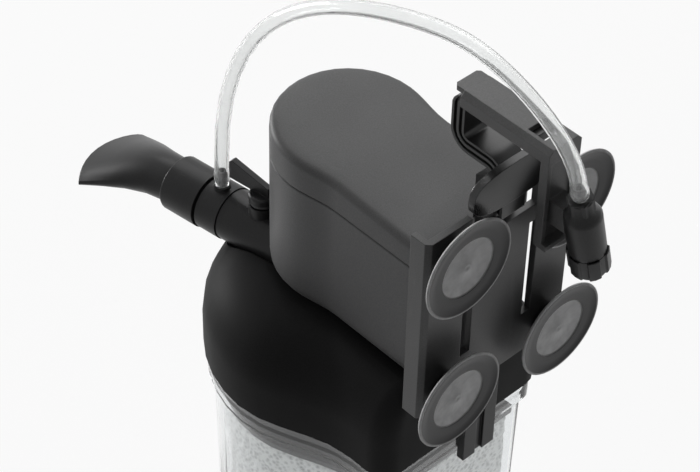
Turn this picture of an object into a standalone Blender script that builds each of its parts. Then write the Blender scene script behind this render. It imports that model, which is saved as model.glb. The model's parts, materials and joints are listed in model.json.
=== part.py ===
"""An internal aquarium filter on a rim hook: pump head, domed lid, clear cup, outlet, holder and air line.

Sizes are in millimetres here and become metres in the meshes. Z is the pump's upright axis,
the tank glass stands at GLASS_Y, and +Y points from the glass into the tank.
"""

import math

import bmesh
import bpy
from mathutils import Matrix, Vector

MM = 0.001

# Clearances
GAP = 0.3
SLIDE = 0.4
CUT_OVER = 4.0

# Plans: round radius, neck half width, near edge, start of the waist, near corner radius
NEAR_Y = -69.0
HEAD_RADIUS = 31.8
LID_PLAN = (59.5, 45.0, NEAR_Y, -50.0, 10.0)
HEAD_PLAN = (HEAD_RADIUS, 29.0, NEAR_Y, -22.0, 7.0)
SADDLE_PLAN = (33.6, 30.4, NEAR_Y, -26.0, 7.5)
CORNER_STEPS = 4
WAIST_STEPS = 5
ROUND_STEPS = 9
DOME_STEPS = 6
SMOOTH_ANGLE = math.radians(32.0)

# Heights of the cup and lid, from the base up
CUP_FLOOR = 3.0
LID_BOTTOM = 118.0
FLANGE_TALL = 10.0
FLANGE_LOW = LID_BOTTOM - FLANGE_TALL
COLLAR_TALL = 7.7
COLLAR_TOP = LID_BOTTOM + COLLAR_TALL
LID_BAND = 18.0
DOME_START = LID_BOTTOM + LID_BAND
DOME_TALL = 27.0
DOME_TOP = DOME_START + DOME_TALL

# Walls, and how far each step of the cup, lid and head lies in from its plan
CUP_WALL = 2.4
CUP_INSET = 4.2
CUP_FOOT_INSET = 5.5
CUP_FOOT_ROUND = 3.0
FLANGE_INSET = 1.2
FLANGE_SLOPE = 0.6
LID_WALL = 2.5
LID_STEP_INSET = 6.2
LID_EDGE = 1.0
HEAD_WALL = 2.5
HEAD_EDGE = 3.2
HEAD_FOOT_TALL = 7.0
CROWN = ((14.0, 0.5), (6.0, 0.3))
SEAM_EDGE = 0.4
COVER_LIP = 2.0
FLOOR_THICK = 2.9
GASKET_TALL = 2.0
FOAM_DOWN = 12.0
FOAM_TOP = FLANGE_LOW - FOAM_DOWN
FOAM_CLEAR = 1.0
FOAM_EDGE = 2.0
GRID_THICK = 2.5

# Outlet, measured along its own axis from beside the pump, with its middle level with the lid's top
TUBE_YAW = math.radians(8.0)
TUBE_OFFSET = 10.1
TUBE_HEIGHT = DOME_TOP
TUBE_RADIUS = 11.3
TUBE_WALL = 1.8
TUBE_BORE = TUBE_RADIUS - TUBE_WALL
TUBE_START = 4.0
LEVER_OFF_HEAD = 5.2
LEVER_AT = HEAD_RADIUS + LEVER_OFF_HEAD
TUBE_PAST_LEVER = 15.7
TUBE_END = LEVER_AT + TUBE_PAST_LEVER
COLLAR_LENGTH = 11.0
COLLAR_STEP = 0.4
COLLAR_RADIUS = TUBE_RADIUS + COLLAR_STEP
SPIGOT_STEP = 1.5
SPIGOT_RADIUS = COLLAR_RADIUS - SPIGOT_STEP
SPIGOT_LENGTH = 8.5
SPIGOT_WALL = 2.5
SPIGOT_BORE = SPIGOT_RADIUS - SPIGOT_WALL
PLUG_LENGTH = 6.0
MOUTH_STEP = 1.5
MOUTH_RADIUS = TUBE_BORE - MOUTH_STEP
SLEEVE_BACK = 1.2
SLEEVE_WALL = 1.7
SLEEVE_RADIUS = SPIGOT_RADIUS + GAP + SLEEVE_WALL
SLEEVE_LENGTH = 18.0
SLEEVE_EDGE = 1.2

# Heights of the head, which sits on the lid with its floor over the outlet
HEAD_BOTTOM = DOME_TOP + GAP
HEAD_FLOOR = TUBE_HEIGHT + TUBE_RADIUS + GAP
HOUSING_TALL = 58.1
COVER_SEAM = HEAD_BOTTOM + HOUSING_TALL
COVER_TALL = 14.6
HEAD_TOP = COVER_SEAM + COVER_TALL
TOP_SLOPE = 0.05

# Motor and pump, all on the Z axis
WELL_BORE = 11.2
WELL_WALL = 1.8
WELL_RADIUS = WELL_BORE + WELL_WALL
WELL_TALL = 31.4
WELL_TOP = HEAD_FLOOR + WELL_TALL
WELL_ROOF = 3.0
STATOR_HALF_WIDTH = 21.0
STATOR_NEAR = -46.0
STATOR_SHORT = 15.8
STATOR_FAR = HEAD_RADIUS - STATOR_SHORT
STATOR_TALL = 36.0
MAGNET_CLEAR = 0.8
MAGNET_RADIUS = WELL_BORE - MAGNET_CLEAR
MAGNET_UP = 3.4
MAGNET_LOW = HEAD_FLOOR + MAGNET_UP
SHAFT_RADIUS = 2.0
BUSH_RADIUS = 4.6
BUSH_TALL = 2.4
BLADES = 6
BLADE_TIP = 16.0
BLADE_HALF = 0.9
BLADE_FLOOR = 2.5
BLADE_ROOF = 1.5
HUB_RADIUS = 6.0
HUB_STEP = 0.4
VOLUTE_RADIUS = 22.5
VOLUTE_WALL = 2.8
VOLUTE_FLOOR = 1.0
VOLUTE_LOW = TUBE_HEIGHT - MOUTH_RADIUS - VOLUTE_FLOOR
VOLUTE_CLEAR = 0.7
SKIRT_INSET = HEAD_RADIUS - VOLUTE_RADIUS - VOLUTE_CLEAR
SKIRT_WALL = 2.6
HEAD_FOOT_IN = SKIRT_INSET - SKIRT_WALL
PUMP_COVER_THICK = 3.0
INLET_HOLES = 6
INLET_RADIUS = 3.2
INLET_CIRCLE = 10.0
LID_HOLE_CLEAR = 2.7
LID_HOLE = VOLUTE_RADIUS + LID_HOLE_CLEAR

# Regulator
BOSS_RADIUS = 5.6
BOSS_TALL = 15.6
BOSS_TOP = TUBE_HEIGHT + BOSS_TALL
SPINDLE_RADIUS = 2.2
LEVER_DISC_TALL = 3.2
LEVER_LENGTH = 16.4
LEVER_TALL = 9.4
LEVER_HEEL = 4.6
LEVER_THICK = 2.6
LEVER_EDGE = 1.5
LEVER_SUNK = 1.2
SEAL_THICK = 0.8
SEAL_INSET = 1.2
DISC_EDGE = 0.6
FLAP_CLEAR = 0.7
FLAP_RADIUS = TUBE_BORE - FLAP_CLEAR
FLAP_THICK = 2.0

# Duckbill: how far past the sleeve, half width, half height and drop of each section
BILL_SECTIONS = (
    (2.0, 10.0, 10.0, 0.0),
    (10.0, 11.2, 9.5, 0.6),
    (19.0, 14.2, 8.2, 2.6),
    (28.0, 17.2, 6.4, 5.8),
    (35.0, 19.2, 5.0, 8.6),
    (38.6, 20.2, 4.4, 10.0),
)
BILL_WALL = 1.5
BILL_BULGE = 8.0
BILL_SLOPE = 0.3
BILL_ROOT = 2.0
BILL_STEPS = 28

# Holder on the glass: the rail, the plate that slides on it and the suction cups, from the lid out
RAIL_DOWN = 6.0
RAIL_LOW = LID_BOTTOM - RAIL_DOWN
RAIL_HALF_HEAD = 8.5
RAIL_HALF_STEM = 5.0
RAIL_HEAD_DEEP = 3.5
RAIL_DEEP = 7.7
RAIL_GROOVE = 2.0
RAIL_GROOVE_DEEP = 1.2
RAIL_BACK = NEAR_Y - GAP
RAIL_FRONT = RAIL_BACK - RAIL_DEEP
PLATE_HALF_WIDTH = 39.0
PLATE_HALF_TALL = 45.0
PLATE_THICK = 3.0
PLATE_BACK = RAIL_FRONT - SLIDE
PLATE_FRONT = PLATE_BACK - PLATE_THICK
LIP_WIDTH = 2.8
WING_DEEP = 9.0
WING_THICK = 2.5
PLATE_EDGE = 2.0
NOTCH_HALF = 17.0
NOTCH_DEEP = 13.0
NOTCH_CLEAR = 8.0
CUP_IN_X = 11.5
CUP_IN_Z = 11.0
CUP_HALF_SPAN_X = PLATE_HALF_WIDTH - CUP_IN_X
CUP_HALF_SPAN_Z = PLATE_HALF_TALL - CUP_IN_Z
SLOT_HALF_WIDTH = 2.5
SLOT_FROM_CUP = 11.0
SLOT_AT = CUP_HALF_SPAN_X - SLOT_FROM_CUP
SLOT_SHORT = 10.0
SLOT_HALF_TALL = CUP_HALF_SPAN_Z - SLOT_SHORT
SUCTION_RADIUS = 21.0
SUCTION_DEEP = 9.6
SUCTION_STEPS = 24
STEM_RADIUS = 3.2
STEM_HEAD = 1.8
CUP_LIP = 1.0
CUP_HOLLOW = 2.6
CUP_BELL = ((0.45, 0.55), (0.75, 0.32))
CUP_NECK_SHARE = 0.8
CUP_SEAL_SHARE = 0.6

# Rim clip, from the glass's top edge, which stands clear of the head
GLASS_Y = PLATE_FRONT - SUCTION_DEEP
GLASS_THICK = 10.8
RIM_ABOVE_HEAD = 50.2
GLASS_TOP = HEAD_TOP + RIM_ABOVE_HEAD
STRAP_HALF_WIDTH = 6.0
STRAP_GROOVE = 1.2
STRAP_RIB_ENDS = (0.5, 0.3, 0.12)
STRAP_RIB_SLOPE = 0.02
STRAP_THICK = 6.5
STRAP_ARM_THICK = 3.8
STRAP_REACH = 33.6
STRAP_FAR = GLASS_Y + STRAP_REACH
STRAP_OVER_GLASS = 4.0
STRAP_START = GLASS_Y - STRAP_OVER_GLASS
LOOP_TALL = 14.7
STRAP_UNDER = GLASS_TOP + GAP - LOOP_TALL - STRAP_THICK
TAIL_LONG = 19.3
STRAP_END = STRAP_UNDER - TAIL_LONG
STRAP_CORNER = 5.5
STRAP_ARM_CORNER = 3.6
CORNER_ARC = 5
FOOT_HALF_WIDTH = 21.0
FOOT_UP = 6.5
FOOT_LOW = STRAP_END + FOOT_UP
FOOT_TALL = 18.5
FOOT_THICK = 3.2
FOOT_POWER = 0.7
FOOT_STEPS = 24
CHEEK_WALL = 1.7
HOOK_HALF_WIDTH = STRAP_HALF_WIDTH + GAP + CHEEK_WALL
HOOK_PLATE = 2.2
HOOK_TOP = GLASS_TOP + 2 * GAP + STRAP_ARM_THICK + HOOK_PLATE
HOOK_REACH = 28.0
HOOK_FAR = GLASS_Y + HOOK_REACH
HOOK_CHAMFER = 2.0
TONGUE_LONG = 5.0
TONGUE_FAR = HOOK_FAR + TONGUE_LONG
TONGUE_CORNER = 1.2
TONGUE_STEP = 0.1
LEG_THICK = 3.7
LEG_LONG = 38.2
LEG_LOW = GLASS_TOP - LEG_LONG
LEG_INNER = GLASS_Y - GLASS_THICK - GAP
LEG_OUTER = LEG_INNER - LEG_THICK
LEG_FRAME = 1.8
LEG_RECESS = 1.5
LEDGE_TALL = 2.5
LEDGE_OUT = 2.3
WINDOW_HALF = 4.5
WINDOW_LONG = 8.0
WINDOW_FROM_LEG = 2.0
ARM_HALF_WIDTH = 4.0
ARM_TALL = 10.0
ARM_SHARE = 0.35

# Heights of the rail and the holder, which stop under the strap's tail
TAIL_ON_RAIL = 12.0
RAIL_TOP = STRAP_END + TAIL_ON_RAIL
NOTCH_LOW = STRAP_END - NOTCH_CLEAR
PLATE_TOP = NOTCH_LOW + NOTCH_DEEP
CUPS_HEIGHT = PLATE_TOP - PLATE_HALF_TALL

# Air valve, on an axis that leans in the plane of the glass
VALVE_SIDE = -4.4
VALVE_OUT = 12.2
VALVE_DOWN = 7.2
VALVE_TOP = (VALVE_SIDE, LEG_OUTER - VALVE_OUT, GLASS_TOP - VALVE_DOWN)
VALVE_LEAN = math.radians(14.4)
VALVE_RADIUS = 7.0
VALVE_BORE = 1.0
VALVE_NECK = 4.6
VALVE_BASE_RADIUS = 5.0
VALVE_BASE = 6.0
VALVE_CONE = 3.5
VALVE_BODY = 19.5
VALVE_EDGE = 0.8
VALVE_NIPPLE = 5.5
SOCKET_CLEAR = 0.9
SOCKET_CONE = 2.0
KNOB_RIB = 0.7
KNOB_RADIUS = VALVE_RADIUS + KNOB_RIB
KNOB_TALL = 11.0
KNOB_EDGE = 1.5
KNOB_RIBS = 6
KNOB_RIB_SHARE = 0.27
KNOB_HOLLOW_SHARE = 0.33
POCKET_HALF = 1.6
POCKET_WIDE = 1.0
POCKET_DEEP = 2.5
NEEDLE_RADIUS = 1.5

# Air line
NIPPLE_RADIUS = 1.9
NIPPLE_LONG = 9.0
BARB_OUT = 0.5
BARB_LONG = 2.5
BARB_BACK = 2.8
NIPPLE_FOOT = 3.6
NIPPLE_FOOT_TALL = 1.5
NIPPLE_ROOT = 2.0
HOSE_RADIUS = 3.0
HOSE_PIECES = 40
HOSE_STRAIGHT = 4.0
HOSE_RISE = 167.0
HOSE_FALL = 47.5
HOSE_PULLS = ((-6.0, -114.5, GLASS_TOP + 3.2), (-13.4, -11.3, GLASS_TOP + 49.9))

# Gland for the mains lead
GLAND_TURN = math.radians(-45.0)
GLAND_UP = 25.4
GLAND_HEIGHT = HEAD_FLOOR + GLAND_UP
GLAND_RADIUS = 4.2
GLAND_FLANGE = 6.2
GLAND_BORE = 2.6
GLAND_LONG = 8.0
GLAND_FLANGE_LOW = 0.9
GLAND_FLANGE_HIGH = 2.6

# Slots in the cup and the grid
INTAKE_SLOTS = 9
INTAKE_WIDTH = 3.2
INTAKE_LOW = 10.0
INTAKE_TALL = 22.0
GRID_SLOTS = 9
GRID_SLOT_WIDTH = 4.0
GRID_PITCH = 10.0
GRID_RIB_HALF = 3.0
GRID_REACH = 26.0
GRID_FAR_REACH = 14.0
GRID_FAR_FROM = 35.0

# Colours: red, green, blue, roughness
HEAD_GREY = (0.10, 0.10, 0.105, 0.55)
BLACK_PLASTIC = (0.022, 0.022, 0.024, 0.40)
CLIP_GREY = (0.035, 0.034, 0.036, 0.50)
CLEAR_SMOKE = (0.62, 0.64, 0.66, 0.10)
RUBBER = (0.05, 0.05, 0.052, 0.65)
FOAM = (0.60, 0.61, 0.60, 0.95)
METAL = (0.55, 0.55, 0.57, 0.35)
CERAMIC = (0.82, 0.82, 0.80, 0.25)
CLEAR_HOSE = (0.85, 0.87, 0.88, 0.08)


# Scene helpers

def clear_scene():
    for obj in list(bpy.data.objects):
        bpy.data.objects.remove(obj, do_unlink=True)


def new_collection(name):
    collection = bpy.data.collections.new(name)
    bpy.context.scene.collection.children.link(collection)
    return collection


def paint(obj, colour):
    material = bpy.data.materials.new(obj.name)
    material.use_nodes = True
    shader = material.node_tree.nodes["Principled BSDF"]
    shader.inputs["Base Color"].default_value = (*colour[:3], 1.0)
    shader.inputs["Roughness"].default_value = colour[3]
    shader.inputs["Metallic"].default_value = 1.0 if colour == METAL else 0.0
    obj.data.materials.append(material)


def place(obj, colour, frame):
    """Puts the object in its collection: with no colour it is a cutting or joining tool."""
    if colour is None:
        TOOLS.objects.link(obj)
        obj.hide_render = True
        obj.display_type = "WIRE"
    else:
        PARTS.objects.link(obj)
        paint(obj, colour)
    obj.matrix_world = scaled(frame)
    return obj


def scaled(frame):
    matrix = frame.copy()
    matrix.translation = matrix.translation * MM
    return matrix


def mesh_object(name, mesh, colour, frame):
    bmesh.ops.recalc_face_normals(mesh, faces=mesh.faces)
    data = bpy.data.meshes.new(name)
    mesh.to_mesh(data)
    mesh.free()
    data.shade_smooth()
    data.set_sharp_from_angle(angle=SMOOTH_ANGLE)
    return place(bpy.data.objects.new(name, data), colour, frame)


def loft(name, rings, colour, frame=Matrix(), wraps=False):
    """A solid through rings of equal length. It closes with end faces, or onto its first ring."""
    mesh = bmesh.new()
    loops = []
    for ring in rings:
        loops.append([mesh.verts.new(Vector(point) * MM) for point in ring])
    pairs = list(zip(loops, loops[1:]))
    if wraps:
        pairs.append((loops[-1], loops[0]))
    for low, high in pairs:
        for i in range(len(low)):
            mesh.faces.new((low[i - 1], low[i], high[i], high[i - 1]))
    if not wraps:
        mesh.faces.new(loops[0][::-1])
        mesh.faces.new(loops[-1])
    return mesh_object(name, mesh, colour, frame)


def prism(name, outline, low, high, colour, frame=Matrix()):
    """A flat outline raised from one height to another."""
    rings = [[(x, y, height) for x, y in outline] for height in (low, high)]
    return loft(name, rings, colour, frame)


def blocks(name, spans, colour, frame=Matrix()):
    """Boxes as one object, each given by two opposite corners."""
    mesh = bmesh.new()
    for low, high in spans:
        low, high = Vector(low), Vector(high)
        size = Matrix.Diagonal((*((high - low) * MM), 1.0))
        middle = Matrix.Translation((low + high) * MM / 2)
        bmesh.ops.create_cube(mesh, size=1.0, matrix=middle @ size)
    return mesh_object(name, mesh, colour, frame)


def turned(name, profile, colour, frame=Matrix(), steps=32, wraps=False):
    """A profile of (radius, height) points, top to bottom down the outside, turned about Z."""
    data = bpy.data.meshes.new(name)
    points = [(radius * MM, 0.0, height * MM) for radius, height in profile]
    edges = [(i, i + 1) for i in range(len(points) - 1)]
    if wraps:
        edges.append((len(points) - 1, 0))
    data.from_pydata(points, edges, [])
    obj = place(bpy.data.objects.new(name, data), colour, frame)
    screw = obj.modifiers.new("turn", "SCREW")
    screw.steps = steps
    screw.render_steps = steps
    screw.use_merge_vertices = True
    screw.merge_threshold = 0.00001
    screw.use_smooth_shade = True
    return obj


def rod(name, radius, low, high, colour, frame=Matrix(), steps=32):
    profile = [(0, high), (radius, high), (radius, low), (0, low)]
    return turned(name, profile, colour, frame, steps)


def ring(name, radius, bore, low, high, colour, frame=Matrix(), steps=32):
    profile = [(bore, high), (radius, high), (radius, low), (bore, low)]
    return turned(name, profile, colour, frame, steps, wraps=True)


def combine(obj, other, operation):
    boolean = obj.modifiers.new(operation.lower(), "BOOLEAN")
    boolean.operation = operation
    boolean.solver = "EXACT"
    boolean.object = other


def cut(obj, *tools):
    for tool in tools:
        combine(obj, tool, "DIFFERENCE")


def join(obj, *pieces):
    for piece in pieces:
        combine(obj, piece, "UNION")


# Plans

def keyhole(plan, height):
    """The outline of head and lid: a straight neck that widens through a waist into a half circle."""
    wide, neck, near, waist, corner = plan
    right = []
    for i in range(CORNER_STEPS + 1):
        angle = math.radians(-90 + 90 * i / CORNER_STEPS)
        x = neck - corner + corner * math.cos(angle)
        right.append((x, near + corner + corner * math.sin(angle)))
    for i in range(WAIST_STEPS):
        share = i / WAIST_STEPS
        widened = (1 - math.cos(math.pi * share)) / 2
        right.append((neck + (wide - neck) * widened, waist * (1 - share)))
    for i in range(ROUND_STEPS):
        angle = math.radians(90 * i / ROUND_STEPS)
        right.append((wide * math.cos(angle), wide * math.sin(angle)))
    left = [(-x, y) for x, y in reversed(right)]
    return [(x, y, height) for x, y in right + [(0.0, wide)] + left]


def inset(plan, amount):
    wide, neck, near, waist, corner = plan
    return (wide - amount, neck - amount, near + amount, waist, max(corner - amount, 1.0))


def between(first, second, share):
    return tuple(a + (b - a) * share for a, b in zip(first, second))


def stack(plan, profile):
    """Rings of one plan, each inset by its first number at the height of its second."""
    return [keyhole(inset(plan, amount), height) for amount, height in profile]


def quarter(start, end, steps):
    """Points from start to end on a quarter ellipse that leaves start upright."""
    points = []
    for i in range(steps + 1):
        angle = math.radians(90 * i / steps)
        across = start[0] + (end[0] - start[0]) * (1 - math.cos(angle))
        points.append((across, start[1] + (end[1] - start[1]) * math.sin(angle)))
    return points


# Frames

def tube_point(along):
    """A point on the outlet's axis, which passes beside the pump and leans away from +Y."""
    x = -TUBE_OFFSET * math.cos(TUBE_YAW) - along * math.sin(TUBE_YAW)
    y = -TUBE_OFFSET * math.sin(TUBE_YAW) + along * math.cos(TUBE_YAW)
    return Vector((x, y, TUBE_HEIGHT))


def upright_on_tube(along):
    """Z up and Y along the outlet, on its axis but with heights from the base."""
    spot = tube_point(along)
    spot.z = 0.0
    return Matrix.Translation(spot) @ Matrix.Rotation(TUBE_YAW, 4, "Z")


def along_tube(along=0.0):
    """Z along the outlet and Y down."""
    turn = Matrix.Rotation(TUBE_YAW, 4, "Z") @ Matrix.Rotation(math.radians(-90), 4, "X")
    return Matrix.Translation(tube_point(along)) @ turn


def valve_frame():
    """Z up the leaning valve, from the top of its six-sided base."""
    return Matrix.Translation(VALVE_TOP) @ Matrix.Rotation(-VALVE_LEAN, 4, "Y")


# Cup and filter media

def canister_cup():
    inner = CUP_INSET + CUP_WALL
    foot_inner = CUP_FOOT_INSET + CUP_WALL
    collar = LID_WALL + GAP
    low_edge = CUP_FOOT_INSET + CUP_FOOT_ROUND
    profile = [
        *reversed(quarter((CUP_FOOT_INSET, CUP_FOOT_ROUND), (low_edge, 0.0), 3)),
        (CUP_INSET, FLANGE_LOW),
        (FLANGE_INSET, FLANGE_LOW + FLANGE_SLOPE),
        (FLANGE_INSET, LID_BOTTOM - GAP),
        (collar, LID_BOTTOM - GAP),
        (collar, COLLAR_TOP),
        (inner, COLLAR_TOP),
        (inner, FLANGE_LOW),
        (foot_inner, CUP_FLOOR),
    ]
    cup = loft("canister_cup", stack(LID_PLAN, profile), CLEAR_SMOKE)
    cut(cup, intake_cutter())
    return cup


def intake_cutter():
    cutter = bmesh.new()
    for i in range(INTAKE_SLOTS):
        angle = math.radians(180 * i / (INTAKE_SLOTS - 1))
        turn = Matrix.Rotation(angle, 4, "Z")
        reach = LID_PLAN[0] - CUP_FOOT_INSET - CUP_WALL / 2
        spot = Vector((reach, 0.0, INTAKE_LOW + INTAKE_TALL / 2)) * MM
        size = Vector((CUP_WALL + 2 * CUT_OVER, INTAKE_WIDTH, INTAKE_TALL)) * MM
        shape = Matrix.Translation(spot) @ Matrix.Diagonal((*size, 1.0))
        bmesh.ops.create_cube(cutter, size=1.0, matrix=turn @ shape)
    return mesh_object("intake_cutter", cutter, None, Matrix())


def foam_block():
    side = CUP_FOOT_INSET + CUP_WALL + FOAM_CLEAR
    low = CUP_FLOOR + GAP
    profile = [
        (side + FOAM_EDGE, low),
        (side, low + FOAM_EDGE),
        (side, FOAM_TOP - FOAM_EDGE),
        (side + FOAM_EDGE, FOAM_TOP),
    ]
    return loft("foam_block", stack(LID_PLAN, profile), FOAM)


def media_grid():
    side = CUP_FOOT_INSET + CUP_WALL + GAP
    low = FOAM_TOP + GAP
    high = low + GRID_THICK
    grid = loft("media_grid", stack(LID_PLAN, [(side, low), (side, high)]), BLACK_PLASTIC)
    spans = []
    for i in range(GRID_SLOTS):
        y = GRID_PITCH * (i - (GRID_SLOTS + 1) / 2)
        reach = GRID_REACH if y < GRID_FAR_FROM else GRID_FAR_REACH
        for left, right in ((-reach, -GRID_RIB_HALF), (GRID_RIB_HALF, reach)):
            spans.append(((left, y, low - CUT_OVER), (right, y + GRID_SLOT_WIDTH, high + CUT_OVER)))
    cut(grid, blocks("grid_cutter", spans, None))
    return grid


# Lid

def lid_gasket():
    low = COLLAR_TOP + GAP
    profile = [
        (LID_WALL + GAP, low),
        (LID_WALL + GAP, low + GASKET_TALL),
        (LID_STEP_INSET, low + GASKET_TALL),
        (LID_STEP_INSET, low),
    ]
    return loft("lid_gasket", stack(LID_PLAN, profile), RUBBER, wraps=True)


def dome_rings(shrink, low, high):
    """Rings from the upright band of the lid up over its shoulder to the saddle under the head."""
    rings = []
    for i in range(DOME_STEPS + 1):
        angle = math.radians(90 * i / DOME_STEPS)
        plan = between(LID_PLAN, SADDLE_PLAN, 1 - math.cos(angle))
        rings.append(keyhole(inset(plan, shrink), low + (high - low) * math.sin(angle)))
    return rings


def filter_lid():
    step = COLLAR_TOP + GASKET_TALL + 2 * GAP
    rings = list(reversed(dome_rings(0.0, DOME_START, DOME_TOP)))
    profile = [
        (0.0, LID_BOTTOM + LID_EDGE),
        (LID_EDGE, LID_BOTTOM),
        (LID_WALL, LID_BOTTOM),
        (LID_WALL, step),
        (LID_STEP_INSET, step),
    ]
    rings += stack(LID_PLAN, profile)
    rings += dome_rings(LID_STEP_INSET, DOME_START - LID_EDGE, DOME_TOP - LID_WALL)
    lid = loft("filter_lid", rings, BLACK_PLASTIC)
    cut(lid, rod("lid_hole", LID_HOLE, VOLUTE_LOW - CUT_OVER, HEAD_FLOOR, None))
    cut(lid, tube_cutter("lid_tube_cutter", COLLAR_RADIUS + 2 * GAP))
    return lid


def tube_cutter(name, radius):
    return rod(name, radius, TUBE_START, TUBE_END + 3 * CUT_OVER, None, along_tube())


# Pump head

def pump_housing():
    foot = quarter((0.0, HEAD_BOTTOM + HEAD_FOOT_TALL), (HEAD_FOOT_IN, HEAD_BOTTOM), 4)
    profile = [
        (SKIRT_INSET, HEAD_FLOOR),
        (SKIRT_INSET, HEAD_BOTTOM),
        *reversed(foot),
        (0.0, COVER_SEAM - SEAM_EDGE),
        (SEAM_EDGE, COVER_SEAM),
        (HEAD_WALL, COVER_SEAM),
        (HEAD_WALL, HEAD_FLOOR + FLOOR_THICK),
    ]
    housing = loft("pump_housing", stack(HEAD_PLAN, profile), HEAD_GREY)
    join(housing, rod("well_wall", WELL_RADIUS, HEAD_FLOOR + 1.0, WELL_TOP, None))
    cut(housing, rod("well_bore", WELL_BORE, HEAD_BOTTOM, WELL_TOP - WELL_ROOF, None))
    cut(housing, tube_cutter("housing_tube_cutter", TUBE_RADIUS + GAP))
    reach = HEAD_PLAN[0]
    hole = rod("gland_hole", GLAND_RADIUS + GAP, reach - CUT_OVER, reach + CUT_OVER, None, gland_frame())
    cut(housing, hole)
    return housing


def head_cover():
    """A shallow cap whose soft-edged top slopes down towards the glass."""
    lip = HEAD_WALL + GAP
    low = COVER_SEAM + GAP
    top = [(inward, HEAD_TOP + rise) for inward, rise in CROWN]
    top += reversed(quarter((0.0, HEAD_TOP - HEAD_EDGE), (HEAD_EDGE, HEAD_TOP), 4))
    seam = [
        (0.0, low + SEAM_EDGE),
        (SEAM_EDGE, low),
        (lip, low),
        (lip, low - CUT_OVER),
        (lip + COVER_LIP, low - CUT_OVER),
    ]
    ceiling = [(lip + COVER_LIP, HEAD_TOP - LID_WALL)]
    rings = sloped(stack(HEAD_PLAN, top)) + stack(HEAD_PLAN, seam) + sloped(stack(HEAD_PLAN, ceiling))
    return loft("head_cover", rings, HEAD_GREY)


def sloped(rings):
    return [[(x, y, z + TOP_SLOPE * y) for x, y, z in ring] for ring in rings]


def gland_frame():
    turn = Matrix.Rotation(GLAND_TURN, 4, "Z") @ Matrix.Rotation(math.radians(-90), 4, "X")
    return Matrix.Translation((0.0, 0.0, GLAND_HEIGHT)) @ turn


def cable_gland():
    wall = HEAD_PLAN[0]
    profile = [
        (GLAND_BORE, wall + GLAND_LONG),
        (GLAND_RADIUS, wall + GLAND_LONG),
        (GLAND_FLANGE, wall + GLAND_FLANGE_HIGH),
        (GLAND_FLANGE, wall + GLAND_FLANGE_LOW),
        (GLAND_RADIUS, wall + GLAND_FLANGE_LOW),
        (GLAND_RADIUS, wall - CUT_OVER),
        (GLAND_BORE, wall - CUT_OVER),
    ]
    return turned("cable_gland", profile, BLACK_PLASTIC, gland_frame(), 24, wraps=True)


# Motor and impeller

def motor_stator():
    low = HEAD_FLOOR + FLOOR_THICK + GAP
    spans = [(
        (-STATOR_HALF_WIDTH, STATOR_NEAR, low),
        (STATOR_HALF_WIDTH, STATOR_FAR, low + STATOR_TALL),
    )]
    stator = blocks("motor_stator", spans, METAL)
    cut(stator, rod("stator_bore", WELL_RADIUS + GAP, low - CUT_OVER, WELL_TOP + GAP, None))
    return stator


def rotor_magnet():
    high = upper_bush_low() - MAGNET_CLEAR
    return ring("rotor_magnet", MAGNET_RADIUS, SHAFT_RADIUS + GAP, MAGNET_LOW, high, METAL)


def impeller():
    outline = []
    for i in range(BLADES):
        middle = 2 * math.pi * i / BLADES
        for radius, side in ((HUB_RADIUS, -1), (BLADE_TIP, -1), (BLADE_TIP, 1), (HUB_RADIUS, 1)):
            angle = middle + side * BLADE_HALF / radius
            outline.append((radius * math.cos(angle), radius * math.sin(angle)))
        angle = middle + math.pi / BLADES
        outline.append((HUB_RADIUS * math.cos(angle), HUB_RADIUS * math.sin(angle)))
    low = VOLUTE_LOW + BLADE_FLOOR
    wheel = prism("impeller", outline, low, HEAD_FLOOR - BLADE_ROOF, BLACK_PLASTIC)
    join(wheel, rod("impeller_hub", HUB_RADIUS + HUB_STEP, low + HUB_STEP, MAGNET_LOW - GAP, None))
    cut(wheel, rod("impeller_bore", SHAFT_RADIUS + GAP, low - CUT_OVER, MAGNET_LOW + CUT_OVER, None))
    return wheel


def rotor_shaft():
    roof = WELL_TOP - WELL_ROOF
    return rod("rotor_shaft", SHAFT_RADIUS, pump_cover_low() + GAP, roof - 2 * GAP, CERAMIC, steps=20)


def pump_cover_low():
    return VOLUTE_LOW - GAP - PUMP_COVER_THICK


def upper_bush_low():
    return WELL_TOP - WELL_ROOF - GAP - BUSH_TALL


def upper_bush():
    low = upper_bush_low()
    high = low + BUSH_TALL
    return ring("upper_bush", BUSH_RADIUS, SHAFT_RADIUS + GAP, low, high, RUBBER, steps=20)


def lower_bush():
    low = pump_cover_low() + GAP
    high = low + BUSH_TALL
    return ring("lower_bush", BUSH_RADIUS, SHAFT_RADIUS + GAP, low, high, RUBBER, steps=20)


def volute_case():
    bore = VOLUTE_RADIUS - VOLUTE_WALL
    case = ring("volute_case", VOLUTE_RADIUS, bore, VOLUTE_LOW, HEAD_FLOOR - GAP, BLACK_PLASTIC)
    cut(case, rod("volute_mouth", MOUTH_RADIUS, TUBE_START, TUBE_END, None, along_tube()))
    return case


def impeller_cover():
    low = pump_cover_low()
    high = low + PUMP_COVER_THICK
    cover = ring("impeller_cover", VOLUTE_RADIUS, BUSH_RADIUS + GAP, low, high, BLACK_PLASTIC)
    for i in range(INLET_HOLES):
        turn = Matrix.Rotation(2 * math.pi * i / INLET_HOLES, 4, "Z")
        spot = turn @ Matrix.Translation((INLET_CIRCLE, 0.0, 0.0))
        cut(cover, rod(f"inlet_{i}", INLET_RADIUS, low - CUT_OVER, high + CUT_OVER, None, spot, 12))
    return cover


# Outlet

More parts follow.
